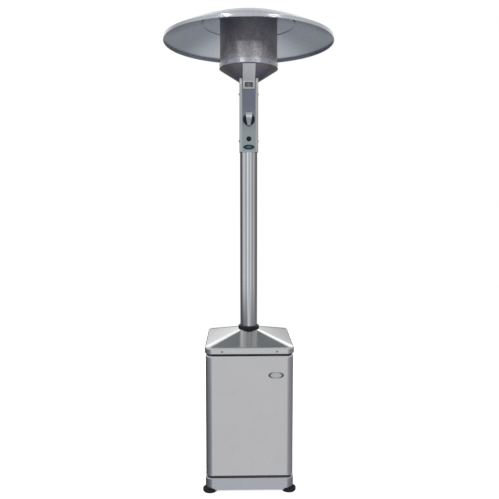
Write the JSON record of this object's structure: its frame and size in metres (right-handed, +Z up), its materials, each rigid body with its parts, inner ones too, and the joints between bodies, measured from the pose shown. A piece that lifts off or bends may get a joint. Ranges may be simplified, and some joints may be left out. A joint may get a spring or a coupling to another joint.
{
  "type": "outdoor heater",
  "caption": "Free-standing gas outdoor heater: square steel cabinet with a hinged door, pyramid cover, pole, control housing, perforated emitter and domed reflector.",
  "frame": {"origin": "on the floor, under the axis of the pole and reflector", "axes": "+Z up along the pole, front of the cabinet and the controls towards -Y, +X to the right of someone facing the front"},
  "size_m": [0.864, 0.864, 2.4113],
  "materials": {
    "rubber": "matte black rubber",
    "plinth_steel": "fine brushed",
    "frame_paint": "dark satin paint",
    "galvanised_steel": "dull zinc plate",
    "zinc_fasteners": "zinc plated",
    "cabinet_steel": "vertical fine brushed",
    "cover_steel": "bright brushed",
    "pole_steel": "bright, polished along the tube",
    "housing_steel": "satin",
    "panel_steel": "dull satin",
    "black_plastic": "satin black",
    "igniter_case": "ceramic and nylon",
    "grip_metal": "satin chrome",
    "badge_metal": "polished with dark field",
    "tank_paint": "semi-gloss grey paint",
    "brass": "turned brass",
    "regulator_paint": "grey die casting",
    "hose_rubber": "ribbed black rubber",
    "strike_steel": "plain steel",
    "copper_lead": "copper capillary",
    "wire_sleeve": "silicone sleeve",
    "heated_steel": "heat tinted, dark",
    "band_steel": "satin, slightly tinted",
    "emitter_metal": "oxidised perforated sheet",
    "burner_steel": "heat tinted",
    "window_mesh": "dark mesh",
    "reflector_aluminium": "spun, satin",
    "deflector_aluminium": "spun, satin"
  },
  "bodies": {
    "frame": {"corner_feet": "rubber", "base_plinth": "plinth_steel", "floor_pan": "frame_paint", "top_frame": "frame_paint", "frame_posts": "galvanised_steel", "pole_support_plate": "galvanised_steel", "pole_flange": "galvanised_steel", "hinge_pins": "galvanised_steel", "valve_bracket": "galvanised_steel", "burner_mount": "galvanised_steel", "cylinder_strap": "galvanised_steel", "foot_fasteners": "zinc_fasteners", "flange_bolts": "zinc_fasteners", "fixing_screws": "zinc_fasteners", "reflector_fasteners": "zinc_fasteners", "stem_spring": "zinc_fasteners", "igniter_spring": "zinc_fasteners", "cabinet_shell": "cabinet_steel", "top_cover": "cover_steel", "pole": "pole_steel", "control_housing": "housing_steel", "pilot_cover": "housing_steel", "control_panel": "panel_steel", "pole_collar": "black_plastic", "knob_bezel": "black_plastic", "igniter_bezel": "black_plastic", "regulator_nut": "black_plastic", "door_catch": "black_plastic", "igniter_body": "igniter_case", "housing_badge": "badge_metal", "gas_cylinder": "tank_paint", "cylinder_rings": "tank_paint", "cylinder_valve": "brass", "hose_fittings": "brass", "burner_supply": "brass", "gas_valve": "brass", "regulator": "regulator_paint", "gas_hose": "hose_rubber", "thermocouple_lead": "copper_lead", "ignition_lead": "wire_sleeve", "burner_cone": "heated_steel", "emitter_band": "band_steel", "emitter_screen": "emitter_metal", "venturi_tube": "burner_steel", "burner_plate": "burner_steel", "pilot_burner": "burner_steel", "emitter_top_plate": "burner_steel", "pilot_window": "window_mesh", "reflector_dome": "reflector_aluminium", "heat_deflector": "deflector_aluminium"},
    "door": {"door_panel": "cabinet_steel", "door_reinforcement": "galvanised_steel", "catch_strike": "strike_steel", "door_badge": "badge_metal"},
    "knob_pusher": {"thrust_washer": "zinc_fasteners"},
    "knob": {"control_knob": "black_plastic", "knob_grip": "grip_metal", "valve_stem": "zinc_fasteners"},
    "igniter": {"igniter_button": "black_plastic"},
    "handwheel": {"valve_handwheel": "black_plastic"}
  },
  "joints": [
    {"name": "door_hinge", "type": "hinge", "parent": "frame", "child": "door", "pos_m": [-0.202, -0.199, 0.4], "axis": [0, 0, -1], "range_deg": [0, 115]},
    {"name": "knob_push", "type": "slide", "parent": "frame", "child": "knob_pusher", "axis": [0, 1, 0], "range_m": [0, 0.0045], "stiffness_N_per_m": 900, "deforming": ["stem_spring"]},
    {"name": "knob_turn", "type": "hinge", "parent": "knob_pusher", "child": "knob", "pos_m": [0, -0.07, 1.878], "axis": [0, -1, 0], "range_deg": [0, 180]},
    {"name": "igniter_push", "type": "slide", "parent": "frame", "child": "igniter", "axis": [0, 1, 0], "range_m": [0, 0.005], "stiffness_N_per_m": 1500, "deforming": ["igniter_spring"]},
    {"name": "cylinder_valve_turn", "type": "hinge", "parent": "frame", "child": "handwheel", "pos_m": [0, 0.018, 0.491], "axis": [0, 0, 1], "range_deg": [0, 540]}
  ]
}
